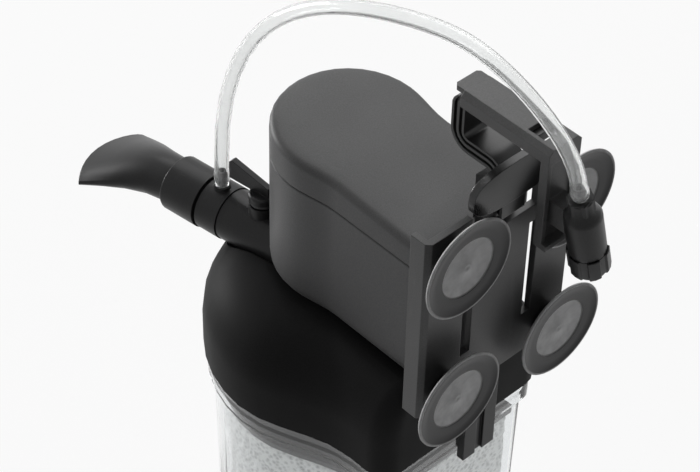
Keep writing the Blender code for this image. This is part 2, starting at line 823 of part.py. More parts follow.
def outlet_tube():
    tube = rod("outlet_tube", TUBE_RADIUS, TUBE_START, TUBE_END, BLACK_PLASTIC, along_tube())
    frame = upright_on_tube(LEVER_AT)
    join(tube, rod("boss", BOSS_RADIUS, TUBE_HEIGHT, BOSS_TOP, None, frame, 24))
    cut(tube, rod("tube_bore", TUBE_BORE, -CUT_OVER, TUBE_END + CUT_OVER, None, along_tube()))
    cut(tube, rod("boss_bore", SPINDLE_RADIUS + GAP, TUBE_HEIGHT, BOSS_TOP + CUT_OVER, None, frame, 16))
    cut(tube, rod("tube_saddle", VOLUTE_RADIUS + GAP, VOLUTE_LOW - CUT_OVER, HEAD_FLOOR + CUT_OVER, None))
    return tube


def lever_disc_low():
    return BOSS_TOP + 2 * GAP + 2 * SEAL_THICK


def lever_seal():
    middle = BOSS_TOP + GAP + SEAL_THICK
    radius = BOSS_RADIUS - SEAL_INSET
    circle = []
    for i in range(8):
        angle = math.radians(90 - 45 * i)
        circle.append((radius + SEAL_THICK * math.cos(angle), middle + SEAL_THICK * math.sin(angle)))
    return turned("lever_seal", circle, RUBBER, upright_on_tube(LEVER_AT), 24, wraps=True)


def flow_lever():
    frame = upright_on_tube(LEVER_AT)
    low = lever_disc_low()
    high = low + LEVER_DISC_TALL
    foot = TUBE_HEIGHT + FLAP_RADIUS + GAP
    profile = [
        (0, high),
        (BOSS_RADIUS - DISC_EDGE, high),
        (BOSS_RADIUS, high - DISC_EDGE),
        (BOSS_RADIUS, low),
        (SPINDLE_RADIUS, low),
        (SPINDLE_RADIUS, foot),
        (0, foot),
    ]
    lever = turned("flow_lever", profile, BLACK_PLASTIC, frame, 24)
    heel = -BOSS_RADIUS + LEVER_EDGE
    top = high + LEVER_TALL
    outline = [
        (heel, high - LEVER_SUNK),
        (BOSS_RADIUS - LEVER_EDGE, high - LEVER_SUNK),
        (BOSS_RADIUS, high - GAP),
        (LEVER_LENGTH, high - GAP),
        (LEVER_LENGTH, top - LEVER_EDGE),
        (LEVER_LENGTH - LEVER_EDGE, top),
        (heel, high + LEVER_HEEL),
    ]
    on_edge = frame @ Matrix(((0, 0, 1, 0), (1, 0, 0, 0), (0, 1, 0, 0), (0, 0, 0, 1)))
    join(lever, prism("lever_plate", outline, -LEVER_THICK / 2, LEVER_THICK / 2, None, on_edge))
    return lever


def throttle_flap():
    sideways = Matrix.Rotation(math.radians(90), 4, "Y")
    frame = Matrix.Translation((0, 0, TUBE_HEIGHT)) @ upright_on_tube(LEVER_AT) @ sideways
    return rod("throttle_flap", FLAP_RADIUS, -FLAP_THICK / 2, FLAP_THICK / 2, BLACK_PLASTIC, frame, 24)


def collar_start():
    return TUBE_END + GAP


def collar_end():
    return collar_start() + COLLAR_LENGTH


def nipple_at():
    return collar_start() + COLLAR_LENGTH / 2


def nipple_tip():
    return TUBE_HEIGHT + COLLAR_RADIUS + NIPPLE_LONG


def venturi_collar():
    start, end = collar_start(), collar_end()
    profile = [
        (SPIGOT_BORE, end + SPIGOT_LENGTH),
        (SPIGOT_RADIUS, end + SPIGOT_LENGTH),
        (SPIGOT_RADIUS, end),
        (COLLAR_RADIUS, end),
        (COLLAR_RADIUS, start),
        (TUBE_BORE - GAP, start),
        (TUBE_BORE - GAP, start - PLUG_LENGTH),
        (SPIGOT_BORE, start - PLUG_LENGTH),
    ]
    collar = turned("venturi_collar", profile, BLACK_PLASTIC, along_tube(), wraps=True)
    frame = upright_on_tube(nipple_at())
    root = TUBE_HEIGHT + COLLAR_RADIUS
    tip = nipple_tip()
    stem = [
        (0, tip),
        *barbed(tip),
        (NIPPLE_RADIUS, root + NIPPLE_FOOT_TALL),
        (NIPPLE_FOOT, root + NIPPLE_FOOT_TALL),
        (NIPPLE_FOOT, root - NIPPLE_ROOT),
        (0, root - NIPPLE_ROOT),
    ]
    join(collar, turned("nipple", stem, None, frame, 16))
    cut(collar, rod("air_bore", VALVE_BORE, TUBE_HEIGHT, tip + CUT_OVER, None, frame, 12))
    return collar


def barbed(tip):
    """The barb at the tip of a hose nipple, from the tip down."""
    return [
        (NIPPLE_RADIUS, tip),
        (NIPPLE_RADIUS + BARB_OUT, tip - BARB_LONG),
        (NIPPLE_RADIUS, tip - BARB_BACK),
    ]


def sleeve_start():
    return collar_end() + SLEEVE_BACK


def sleeve_end():
    return sleeve_start() + SLEEVE_LENGTH


def nozzle_sleeve():
    bore = SPIGOT_RADIUS + GAP
    start, end = sleeve_start(), sleeve_end()
    profile = [
        (bore, end),
        (SLEEVE_RADIUS - SLEEVE_EDGE, end),
        (SLEEVE_RADIUS - SLEEVE_EDGE / 3, end - SLEEVE_EDGE / 3),
        (SLEEVE_RADIUS, end - SLEEVE_EDGE),
        (SLEEVE_RADIUS, start),
        (bore, start),
    ]
    return turned("nozzle_sleeve", profile, BLACK_PLASTIC, along_tube(), wraps=True)


def bill_ring(along, half_width, half_height, drop, bulge):
    """One flattened section of the duckbill, its middle pushed on and down by the bulge of the mouth."""
    points = []
    for i in range(BILL_STEPS):
        angle = 2 * math.pi * i / BILL_STEPS
        x = half_width * math.cos(angle)
        forward = bulge * (1 - math.cos(angle) ** 2)
        fall = drop + half_height * math.sin(angle) + BILL_SLOPE * forward
        points.append((x, fall, along + forward))
    return points


def duckbill():
    root = collar_end() + SPIGOT_LENGTH + BILL_ROOT
    sections = [(root - sleeve_end(), SPIGOT_RADIUS, SPIGOT_RADIUS, 0.0)]
    sections.append((0.0, SPIGOT_RADIUS, SPIGOT_RADIUS, 0.0))
    sections += BILL_SECTIONS
    mouth = BILL_SECTIONS[-1][0]
    outer, inner = [], []
    for along, half_width, half_height, drop in sections:
        bulge = BILL_BULGE * max(along / mouth, 0.0) ** 2
        spot = sleeve_end() + along
        outer.append(bill_ring(spot, half_width, half_height, drop, bulge))
        inner.append(bill_ring(spot, half_width - BILL_WALL, half_height - BILL_WALL, drop, bulge))
    return loft("duckbill", outer + inner[::-1], BLACK_PLASTIC, along_tube(), wraps=True)


# Holder

def guide_rail():
    back, front = RAIL_BACK, RAIL_FRONT
    neck = front + RAIL_HEAD_DEEP
    right = [
        (RAIL_HALF_STEM, back),
        (RAIL_HALF_STEM, neck),
        (RAIL_HALF_HEAD, neck),
        (RAIL_HALF_HEAD, front),
        (RAIL_GROOVE, front),
        (RAIL_GROOVE, front + RAIL_GROOVE_DEEP),
    ]
    outline = right + [(-x, y) for x, y in reversed(right)]
    return prism("guide_rail", outline, RAIL_LOW, RAIL_TOP, BLACK_PLASTIC)


def holder_plate():
    back, front = PLATE_BACK, PLATE_FRONT
    neck = RAIL_FRONT + RAIL_HEAD_DEEP + GAP
    lip_in = RAIL_HALF_HEAD + SLIDE
    lip_out = lip_in + LIP_WIDTH
    lip_back = neck + LIP_WIDTH
    wing_in = PLATE_HALF_WIDTH - WING_THICK
    right = [
        (lip_in, back),
        (lip_in, neck),
        (RAIL_HALF_STEM + SLIDE, neck),
        (RAIL_HALF_STEM + SLIDE, lip_back),
        (lip_out, lip_back),
        (lip_out, back),
        (wing_in, back),
        (wing_in, front + WING_DEEP),
        (PLATE_HALF_WIDTH, front + WING_DEEP),
        (PLATE_HALF_WIDTH, front + PLATE_EDGE),
        (PLATE_HALF_WIDTH - PLATE_EDGE, front),
    ]
    outline = right + [(-x, y) for x, y in reversed(right)]
    low = CUPS_HEIGHT - PLATE_HALF_TALL
    plate = prism("holder_plate", outline, low, PLATE_TOP, CLIP_GREY)
    near, far = front - CUT_OVER, front + WING_DEEP + CUT_OVER
    spans = [((-NOTCH_HALF, near, NOTCH_LOW), (NOTCH_HALF, far, PLATE_TOP + CUT_OVER))]
    for side in (-1, 1):
        middle = side * SLOT_AT
        spans.append((
            (middle - SLOT_HALF_WIDTH, near, CUPS_HEIGHT - SLOT_HALF_TALL),
            (middle + SLOT_HALF_WIDTH, far, CUPS_HEIGHT + SLOT_HALF_TALL),
        ))
    cut(plate, blocks("plate_cutter", spans, None))
    for number, spot in enumerate(cup_spots()):
        frame = cup_frame(spot)
        far = PLATE_BACK - GLASS_Y + CUT_OVER
        cut(plate, rod(f"stem_hole_{number}", STEM_RADIUS + GAP, 0.0, far, None, frame, 16))
    return plate


def cup_spots():
    spots = []
    for up in (1, -1):
        for side in (-1, 1):
            spots.append((side * CUP_HALF_SPAN_X, CUPS_HEIGHT + up * CUP_HALF_SPAN_Z))
    return spots


def cup_frame(spot):
    """Z from the glass towards the plate."""
    return Matrix.Translation((spot[0], GLASS_Y, spot[1])) @ Matrix.Rotation(math.radians(-90), 4, "X")


def suction_cups():
    """Each cup's stem goes through the plate and is held by its mushroom head behind it."""
    shoulder = PLATE_FRONT - GLASS_Y - GAP
    behind = PLATE_BACK - GLASS_Y + GAP
    profile = [
        (0, behind + 1.5 * STEM_HEAD),
        (STEM_RADIUS, behind + STEM_HEAD),
        (STEM_RADIUS + STEM_HEAD, behind + STEM_HEAD / 3),
        (STEM_RADIUS + STEM_HEAD, behind),
        (STEM_RADIUS, behind),
        (STEM_RADIUS, shoulder),
        (2 * STEM_RADIUS, shoulder),
        (2 * STEM_RADIUS, CUP_NECK_SHARE * shoulder),
        *((out * SUCTION_RADIUS, up * shoulder) for out, up in CUP_BELL),
        (SUCTION_RADIUS, CUP_LIP),
        (SUCTION_RADIUS, 0.0),
        (SUCTION_RADIUS - CUP_LIP, 0.0),
        (CUP_SEAL_SHARE * SUCTION_RADIUS, CUP_LIP),
        (0, CUP_HOLLOW),
    ]
    for number, spot in enumerate(cup_spots(), 1):
        turned(f"suction_cup_{number}", profile, RUBBER, cup_frame(spot), SUCTION_STEPS)


# Rim clip

def strap_arm_middle():
    return HOOK_TOP - HOOK_PLATE - GAP - STRAP_ARM_THICK / 2


def strap_tail():
    return RAIL_FRONT - GAP - STRAP_THICK / 2


def rounded_path(corners, radii):
    """The corner points of a path with an arc at each inner corner."""
    path = [Vector(corners[0])]
    for before, corner, after, radius in zip(corners, corners[1:], corners[2:], radii):
        corner = Vector(corner)
        back = (Vector(before) - corner).normalized()
        on = (Vector(after) - corner).normalized()
        centre = corner + (back + on) * radius
        for i in range(CORNER_ARC + 1):
            angle = math.radians(90 * i / CORNER_ARC)
            path.append(centre - on * radius * math.cos(angle) - back * radius * math.sin(angle))
    path.append(Vector(corners[-1]))
    return path


def strap_section():
    """Half the ribbed section: how far through the thickness, and how far out."""
    full = STRAP_HALF_WIDTH
    groove = full - STRAP_GROOVE
    edge, outer, inner = STRAP_RIB_ENDS
    upper = [
        (inner - STRAP_RIB_SLOPE, full),
        (inner + STRAP_RIB_SLOPE, groove),
        (outer - STRAP_RIB_SLOPE, groove),
        (outer + STRAP_RIB_SLOPE, full),
        (edge, full),
    ]
    return [(-share, out) for share, out in reversed(upper)] + upper


def rim_strap():
    top = strap_arm_middle()
    far = STRAP_FAR - STRAP_THICK / 2
    under = STRAP_UNDER + STRAP_THICK / 2
    tail = strap_tail()
    corners = ((STRAP_START, top), (far, top), (far, under), (tail, under), (tail, STRAP_END))
    path = rounded_path(corners, (STRAP_ARM_CORNER, STRAP_CORNER, STRAP_CORNER))
    rings = []
    for i, spot in enumerate(path):
        on = (path[min(i + 1, len(path) - 1)] - path[max(i - 1, 0)]).normalized()
        across = Vector((on.y, -on.x))
        slope = min(max((top - spot.y) / STRAP_ARM_CORNER, 0.0), 1.0)
        thick = STRAP_ARM_THICK + (STRAP_THICK - STRAP_ARM_THICK) * slope
        half = [(x, *(spot + across * share * thick)) for share, x in strap_section()]
        rings.append(half + [(-x, y, z) for x, y, z in reversed(half)])
    strap = loft("rim_strap", rings, CLIP_GREY)
    join(strap, strap_foot())
    return strap


def softened(share):
    return math.copysign(abs(share) ** FOOT_POWER, share)


def strap_foot():
    """The rounded cross foot at the tail, lying along the glass."""
    outline = []
    middle = FOOT_LOW + FOOT_TALL / 2
    for i in range(FOOT_STEPS):
        angle = 2 * math.pi * i / FOOT_STEPS
        x = FOOT_HALF_WIDTH * softened(math.cos(angle))
        outline.append((x, middle + FOOT_TALL / 2 * softened(math.sin(angle))))
    upright = Matrix.Rotation(math.radians(90), 4, "X")
    front = STRAP_THICK / 2 + GAP - strap_tail()
    return prism("strap_foot", outline, front - FOOT_THICK, front, None, upright)


def rim_hook():
    outer = LEG_OUTER
    low = GLASS_TOP + GAP
    inside = STRAP_HALF_WIDTH + GAP
    wide = HOOK_HALF_WIDTH
    right = [
        (inside, HOOK_TOP - HOOK_PLATE),
        (inside, low),
        (wide, low),
        (wide, HOOK_TOP - HOOK_CHAMFER),
        (wide - HOOK_CHAMFER, HOOK_TOP),
    ]
    outline = right + [(-x, z) for x, z in reversed(right)]
    along_y = Matrix.Rotation(math.radians(90), 4, "X")
    hook = prism("rim_hook", outline, -HOOK_FAR, -outer, CLIP_GREY, along_y)
    join(hook, hook_tongue())
    leg = ((-wide, outer, LEG_LOW), (wide, LEG_INNER, HOOK_TOP - HOOK_CHAMFER))
    join(hook, blocks("hook_leg", [leg], None))
    panel = wide - LEG_FRAME
    recess = ((-panel, outer - CUT_OVER, LEG_LOW + LEDGE_TALL), (panel, outer + LEG_RECESS, GLASS_TOP))
    cut(hook, blocks("leg_recess", [recess], None))
    ledge = ((-wide, outer - LEDGE_OUT, LEG_LOW), (wide, LEG_INNER - LEG_RECESS, LEG_LOW + LEDGE_TALL))
    join(hook, blocks("leg_ledge", [ledge], None))
    start = LEG_INNER + WINDOW_FROM_LEG
    window = (
        (-WINDOW_HALF, start, HOOK_TOP - HOOK_PLATE - GAP),
        (WINDOW_HALF, start + WINDOW_LONG, HOOK_TOP + CUT_OVER),
    )
    cut(hook, blocks("hook_window", [window], None))
    join(hook, valve_arm())
    grip = -VALVE_BASE - VALVE_CONE - VALVE_BODY
    cut(hook, rod("valve_seat", VALVE_RADIUS + GAP, grip, 0.0, None, valve_frame()))
    return hook


def hook_tongue():
    """The top plate goes on past the cheeks, over the far end of the strap."""
    near = HOOK_FAR - CUT_OVER
    right = [
        (STRAP_HALF_WIDTH, near),
        (STRAP_HALF_WIDTH, TONGUE_FAR - TONGUE_CORNER),
        (STRAP_HALF_WIDTH - TONGUE_CORNER, TONGUE_FAR),
    ]
    outline = right + [(-x, y) for x, y in reversed(right)]
    top = HOOK_TOP - TONGUE_STEP
    return prism("hook_tongue", outline, HOOK_TOP - HOOK_PLATE, top, None)


def valve_arm():
    """A block from the leg to the upper part of the valve body."""
    down = VALVE_BASE + VALVE_CONE + ARM_SHARE * VALVE_BODY
    middle = valve_frame() @ Vector((0.0, 0.0, -down))
    low = (middle.x - ARM_HALF_WIDTH, middle.y, middle.z - ARM_TALL / 2)
    high = (middle.x + ARM_HALF_WIDTH, LEG_INNER - LEG_RECESS / 2, middle.z + ARM_TALL / 2)
    return blocks("valve_arm", [(low, high)], None)


# Air valve and hose

def valve_body():
    shoulder = -VALVE_BASE - VALVE_CONE
    low = shoulder - VALVE_BODY
    socket = NEEDLE_RADIUS + SOCKET_CLEAR
    profile = [
        (VALVE_BORE, VALVE_NIPPLE),
        *barbed(VALVE_NIPPLE),
        (NIPPLE_RADIUS, -VALVE_EDGE),
        (VALVE_NECK, -VALVE_EDGE),
        (VALVE_NECK, -VALVE_BASE),
        (VALVE_RADIUS - VALVE_EDGE, shoulder + VALVE_EDGE),
        (VALVE_RADIUS, shoulder - VALVE_EDGE),
        (VALVE_RADIUS, low),
        (socket, low),
        (socket, shoulder),
        (VALVE_BORE, shoulder + SOCKET_CONE),
    ]
    body = turned("valve_body", profile, BLACK_PLASTIC, valve_frame(), 24, wraps=True)
    foot = -VALVE_BASE - VALVE_EDGE
    join(body, ring("valve_base", VALVE_BASE_RADIUS, NIPPLE_RADIUS, foot, 0.0, None, valve_frame(), 6))
    return body


def knob_top():
    return -VALVE_BASE - VALVE_CONE - VALVE_BODY - GAP


def valve_knob():
    """Raised grip ribs with a pocket in the top of each, and hollows level with the body between."""
    shares = (
        (-KNOB_RIB_SHARE, KNOB_RADIUS),
        (0.0, KNOB_RADIUS),
        (KNOB_RIB_SHARE, KNOB_RADIUS),
        (KNOB_HOLLOW_SHARE, VALVE_RADIUS),
        (0.5, VALVE_RADIUS),
        (1 - KNOB_HOLLOW_SHARE, VALVE_RADIUS),
    )
    pitch = 2 * math.pi / KNOB_RIBS
    outline = []
    for i in range(KNOB_RIBS):
        for share, radius in shares:
            angle = pitch * (i + share)
            outline.append((radius * math.cos(angle), radius * math.sin(angle)))
    top = knob_top()
    low = top - KNOB_TALL
    tucked = 1 - KNOB_EDGE / 2 / KNOB_RADIUS
    levels = ((1.0, top), (1.0, low + KNOB_EDGE), (tucked, low))
    rings = [[(x * size, y * size, height) for x, y in outline] for size, height in levels]
    knob = loft("valve_knob", rings, BLACK_PLASTIC, valve_frame())
    pocket_in = VALVE_RADIUS - POCKET_WIDE
    pocket = ((pocket_in, -POCKET_HALF, top - POCKET_DEEP), (VALVE_RADIUS, POCKET_HALF, top + CUT_OVER))
    for i in range(KNOB_RIBS):
        turn = valve_frame() @ Matrix.Rotation(pitch * i, 4, "Z")
        cut(knob, blocks(f"pocket_{i}", [pocket], None, turn))
    return knob


def valve_needle():
    low = knob_top() + GAP
    high = -VALVE_BASE - VALVE_CONE - SOCKET_CONE
    return rod("valve_needle", NEEDLE_RADIUS, low, high, METAL, valve_frame(), 16)


def bezier(pulls, share):
    """The point at this share of the curve that starts and ends at the first and last pull."""
    points = list(pulls)
    while len(points) > 1:
        points = [a.lerp(b, share) for a, b in zip(points, points[1:])]
    return points[0]


def hose_curve():
    """From just over the venturi nipple to just over the valve's, leaving each in line with it."""
    up = Vector((0.0, 0.0, 1.0))
    start = tube_point(nipple_at())
    start.z = nipple_tip() + GAP
    valve = valve_frame()
    end = valve @ Vector((0.0, 0.0, VALVE_NIPPLE + GAP))
    valve_up = valve.to_3x3() @ up
    leaves = start + up * HOSE_STRAIGHT
    lands = end + valve_up * HOSE_STRAIGHT
    pulls = [leaves, leaves + up * HOSE_RISE]
    pulls += [Vector(pull) for pull in HOSE_PULLS]
    pulls += [lands + valve_up * HOSE_FALL, lands]
    return [start, *(bezier(pulls, i / HOSE_PIECES) for i in range(HOSE_PIECES + 1)), end]


def air_hose():
    curve = bpy.data.curves.new("air_hose", "CURVE")
    curve.dimensions = "3D"
    points = hose_curve()
    spline = curve.splines.new("POLY")
    spline.points.add(len(points) - 1)
    for target, point in zip(spline.points, points):
        target.co = (*(point * MM), 1.0)
    curve.bevel_depth = HOSE_RADIUS * MM
    curve.bevel_resolution = 2
    curve.use_fill_caps = True
    return place(bpy.data.objects.new("air_hose", curve), CLEAR_HOSE, Matrix())


clear_scene()
PARTS = new_collection("canister_filter")
TOOLS = new_collection("tools")
TOOLS.hide_render = True

canister_cup()
foam_block()
media_grid()
lid_gasket()
filter_lid()
pump_housing()
head_cover()
cable_gland()
motor_stator()
rotor_magnet()
impeller()
rotor_shaft()
upper_bush()
lower_bush()
volute_case()
impeller_cover()
outlet_tube()
lever_seal()
flow_lever()
throttle_flap()
venturi_collar()
nozzle_sleeve()
duckbill()
guide_rail()
holder_plate()
suction_cups()
rim_strap()
rim_hook()
valve_body()
valve_knob()
valve_needle()
air_hose()
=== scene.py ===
"""The looks of the aquarium filter: camera, studio, materials, and the clear hose, foam and suction cups.

Sizes are in metres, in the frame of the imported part: Z up, +Y from the tank's glass into the tank.
"""

import json
import math

import bmesh
import bpy
from mathutils import Matrix, Vector


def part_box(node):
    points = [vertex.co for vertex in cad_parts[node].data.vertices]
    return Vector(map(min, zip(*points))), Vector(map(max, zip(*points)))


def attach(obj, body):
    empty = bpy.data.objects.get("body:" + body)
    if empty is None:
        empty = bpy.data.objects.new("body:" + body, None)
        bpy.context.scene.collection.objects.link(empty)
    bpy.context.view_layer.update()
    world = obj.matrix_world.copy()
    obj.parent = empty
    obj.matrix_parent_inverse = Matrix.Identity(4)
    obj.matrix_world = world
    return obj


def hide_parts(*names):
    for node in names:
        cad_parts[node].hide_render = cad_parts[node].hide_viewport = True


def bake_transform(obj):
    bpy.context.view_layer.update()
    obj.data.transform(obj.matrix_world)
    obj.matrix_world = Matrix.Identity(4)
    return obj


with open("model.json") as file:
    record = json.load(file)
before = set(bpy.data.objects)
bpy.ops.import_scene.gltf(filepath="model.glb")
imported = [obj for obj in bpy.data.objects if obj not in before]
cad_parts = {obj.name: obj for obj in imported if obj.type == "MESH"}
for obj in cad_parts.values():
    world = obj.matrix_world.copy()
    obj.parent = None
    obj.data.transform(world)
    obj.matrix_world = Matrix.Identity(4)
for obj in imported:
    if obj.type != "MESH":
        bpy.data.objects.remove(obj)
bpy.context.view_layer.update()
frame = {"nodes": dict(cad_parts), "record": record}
NODES = frame["nodes"]
MM = 0.001
UP = Vector((0.0, 0.0, 1.0))

# Camera, fitted to the photograph: at heading 0 it looks along +Y. Lens and sensor are in millimetres
CAMERA_SPOT = (-0.4635, -0.4808, 0.8077)
CAMERA_HEADING = math.radians(43.963)
CAMERA_DOWN = math.radians(43.436)
CAMERA_ROLL = math.radians(1.486)
CAMERA_LENS = 118.87
SENSOR_WIDTH = 36.0
CAMERA_NEAR = 10.0 * MM

# Floor and world: the glow is the share of plain white in what the camera sees of the floor
FLOOR_HALF = 4.0
FLOOR_DROP = 0.5 * MM
FLOOR_WHITE = (0.6, 0.6, 0.605)
FLOOR_ROUGHNESS = 0.8
FLOOR_GLOW_SHARE = 0.92
WORLD_WHITE = 0.11
WHITE = (1.0, 1.0, 1.0, 1.0)

# Lamps: name, place, width and power of each
LAMPS = (
    ("back_lamp", (0.6, 0.7, 1.25), 1.2, 11.5),
    ("rear_lamp", (-0.35, 1.6, 0.25), 0.6, 19.0),
)
LAMP_AIM = Vector((0.0, -0.03, 0.2))

# Hose: its route is that of the CAD hose, with each end pushed on over its nipple
HOSE_START = Vector((-18.1433, 56.5251, 184.0)) * MM
HOSE_END = Vector((-5.8424, -117.0, 284.6178)) * MM
VALVE_LEAN = math.radians(14.4)
VALVE_UP = Vector((-math.sin(VALVE_LEAN), 0.0, math.cos(VALVE_LEAN)))
HOSE_STRAIGHT = 4.0 * MM
HOSE_LEAVES = HOSE_START + UP * HOSE_STRAIGHT
HOSE_LANDS = HOSE_END + VALVE_UP * HOSE_STRAIGHT
HOSE_RISE = 167.0 * MM
HOSE_FALL = 47.5 * MM
HOSE_PULLS = (Vector((-6.0, -114.5, 289.4)) * MM, Vector((-13.4, -11.3, 336.1)) * MM)
HOSE_PIECES = 40
HOSE_OVER_START = 7.4 * MM
HOSE_OVER_END = 5.4 * MM
HOSE_RADIUS = 3.0 * MM
HOSE_BORE = 2.0 * MM
BARB_FROM_TIP = 2.8 * MM
BARB_SWELL = 0.5 * MM
BARB_REACH = 3.2 * MM
HOSE_SIDES = 32
HOSE_STEP = 1.2 * MM

# Suction cups: radius and height over the glass in millimetres, along the back and then along the face
CUP_BACK = (
    (0.0, 15.6), (1.9, 15.4), (3.2, 14.7), (5.0, 13.5), (5.0, 12.9), (3.2, 12.9), (3.2, 9.3),
    (6.4, 9.3), (6.4, 7.6), (7.2, 6.4), (9.4, 5.15), (12.6, 4.05), (15.7, 3.0), (18.6, 1.95), (20.7, 1.05),
)
CUP_FACE = (
    (21.0, 0.6), (21.0, 0.25), (20.7, 0.0), (20.0, 0.0), (19.7, 0.2), (16.0, 0.45), (12.9, 0.7),
    (12.5, 1.3), (8.0, 1.5), (2.4, 1.6), (2.0, 1.15), (1.5, 1.05), (0.9, 1.05), (0.6, 1.4), (0.0, 1.45),
)
CUP_COUNT = 4
CUP_SIDES = 72
CUP_SMOOTH_ANGLE = math.radians(50.0)
CUP_HOLLOW_RADIUS = 12.6 * MM
CUP_RIM_RADIUS = 19.8 * MM
CUP_FACE_DEPTH = 2.6 * MM
CUP_BLUR = 0.3 * MM

# Foam
FOAM_VOXEL = 2.4 * MM
FOAM_PORE = 4.2 * MM
FOAM_DEPTH = 1.3 * MM

# Shading of the CAD nodes
WELD_DISTANCE = 0.01 * MM
SMOOTH_ANGLE = math.radians(32.0)

# Plain colours
BLACK = (0.02, 0.02, 0.0205)
# The lid's black is darker than the other black, partly as its own matte black and partly as painted shade
# from the head and tube above it
LID_SHADED_BLACK = (0.011, 0.011, 0.0112)
STRAP_BLACK = (0.026, 0.026, 0.0265)
SEAL_BLACK = (0.03, 0.03, 0.031)
HEAD_GREY = (0.097, 0.097, 0.098)
CLIP_GREY = (0.086, 0.086, 0.0865)
RESIN_BROWN = (0.05, 0.045, 0.04)
CLEAR_TINT = (0.93, 0.945, 0.95)

# Colours from dark to light
# Cups: dark where a clear cup touches the glass, and pale with painted reflection over its hollow and rim
CUP_RING_AND_REFLECTION_COLOURS = ((0.02, 0.02, 0.021), (0.88, 0.88, 0.882))
# The foam's darker colour is painted shade in its pores
FOAM_PORE_SHADE_COLOURS = ((0.45, 0.46, 0.46), (0.86, 0.87, 0.86))
HOSE_COLOURS = ((0.975, 0.985, 0.982), (0.992, 0.997, 0.995))
FERRITE_COLOURS = ((0.05, 0.05, 0.052), (0.09, 0.09, 0.092))
CERAMIC_COLOURS = ((0.78, 0.77, 0.73), (0.88, 0.87, 0.83))
BRASS_COLOURS = ((0.55, 0.42, 0.18), (0.68, 0.55, 0.26))

# Factors that take a plain colour from dark to light
PLASTIC_SHADES = (0.8, 1.2)
RUBBER_SHADES = (0.8, 1.25)
CLEAR_SHADES = (0.97, 1.0)

# What shows on a surface: sizes, depths, and the part of a noise's values that counts
NOISE_RANGE = (0.3, 0.7)
CLOUD_SIZE = 35.0 * MM
CLOUD_SHARE = 0.3
SCUFF_SIZE = 6.0 * MM
SCUFF_STRETCH = (1.0, 1.0, 0.25)
SCUFF_RANGE = (0.62, 0.78)
SCUFF_DULLING = 0.1
FLOW_SIZE = 20.0 * MM
FLOW_STRETCH = (1.0, 1.0, 0.3)
FLOW_DEPTH = 0.02 * MM
HAZE_SIZE = 12.0 * MM
SEAL_CLOUD = 8.0 * MM
SEAL_GRAIN = 0.4 * MM
SEAL_DEPTH = 0.015 * MM
# Patches in the cups' painted reflection, and how pale that reflection makes their rims
REFLECTION_PATCH_SIZE = 4.0 * MM
REFLECTION_PATCH_LEAST = 0.75
RIM_REFLECTION_PALENESS = 0.8
CUP_GRAIN = 0.6 * MM
CUP_DEPTH = 0.01 * MM
# Part of the pore cells' values over which the foam's painted shade fades out
FOAM_PORE_SHADE_RANGE = (0.1, 0.6)
FOAM_BUMP = 0.6 * MM
METAL_LINE = 0.8 * MM
METAL_STRETCH = (1.0, 1.0, 6.0)
METAL_DEPTH = 0.01 * MM

# Radius over which an edge is shaded round, and the rays that this takes
PLASTIC_EDGE = 0.5 * MM
SEAL_EDGE = 0.3 * MM
CUP_EDGE = 0.2 * MM
METAL_EDGE = 0.2 * MM
EDGE_SAMPLES = 6

# Roughness from least to most or by its swing to either side, sheen, and how light goes through
CLEAR_ROUGHNESS = (0.036, 0.084)
HOSE_ROUGHNESS = (0.08, 0.16)
SEAL_ROUGHNESS = (0.5, 0.68)
CUP_ROUGHNESS = (0.35, 0.6)
FOAM_ROUGHNESS = 0.95
PLASTIC_SWING = 0.05
METAL_SWING = 0.06
CUP_SHEEN = 0.2
CLEAR_IOR = 1.5
HOSE_IOR = 1.3
HOSE_CLEARNESS = 0.9


# Camera, floor and light

def add_camera():
    data = bpy.data.cameras.new("camera")
    data.lens = CAMERA_LENS
    data.sensor_width = SENSOR_WIDTH
    data.clip_start = CAMERA_NEAR
    camera = bpy.data.objects.new("camera", data)
    bpy.context.scene.collection.objects.link(camera)
    heading = Matrix.Rotation(-CAMERA_HEADING, 4, "Z")
    tilt = Matrix.Rotation(math.pi / 2 - CAMERA_DOWN, 4, "X")
    roll = Matrix.Rotation(CAMERA_ROLL, 4, "Z")
    camera.matrix_world = Matrix.Translation(CAMERA_SPOT) @ heading @ tilt @ roll
    bpy.context.scene.camera = camera


def add_floor():
    mesh = bmesh.new()
    bmesh.ops.create_grid(mesh, x_segments=1, y_segments=1, size=FLOOR_HALF)
    floor = mesh_object("floor", mesh)
    floor.location.z = -FLOOR_DROP
    floor.data.materials.append(floor_white())


def floor_white():
    """Pale and matt to the lamps, and almost white to the camera, in gloss and through clear plastic."""
    material, tree, shader = new_material("floor_white")
    shader.inputs["Base Color"].default_value = (*FLOOR_WHITE, 1.0)
    shader.inputs["Roughness"].default_value = FLOOR_ROUGHNESS
    glow = tree.nodes.new("ShaderNodeEmission")
    seen = joined(tree, "MULTIPLY", seen_directly(tree), FLOOR_GLOW_SHARE)
    mix = tree.nodes.new("ShaderNodeMixShader")
    tree.links.new(seen, mix.inputs["Fac"])
    tree.links.new(shader.outputs["BSDF"], mix.inputs[1])
    tree.links.new(glow.outputs["Emission"], mix.inputs[2])
    tree.links.new(mix.outputs["Shader"], tree.nodes["Material Output"].inputs["Surface"])
    return material


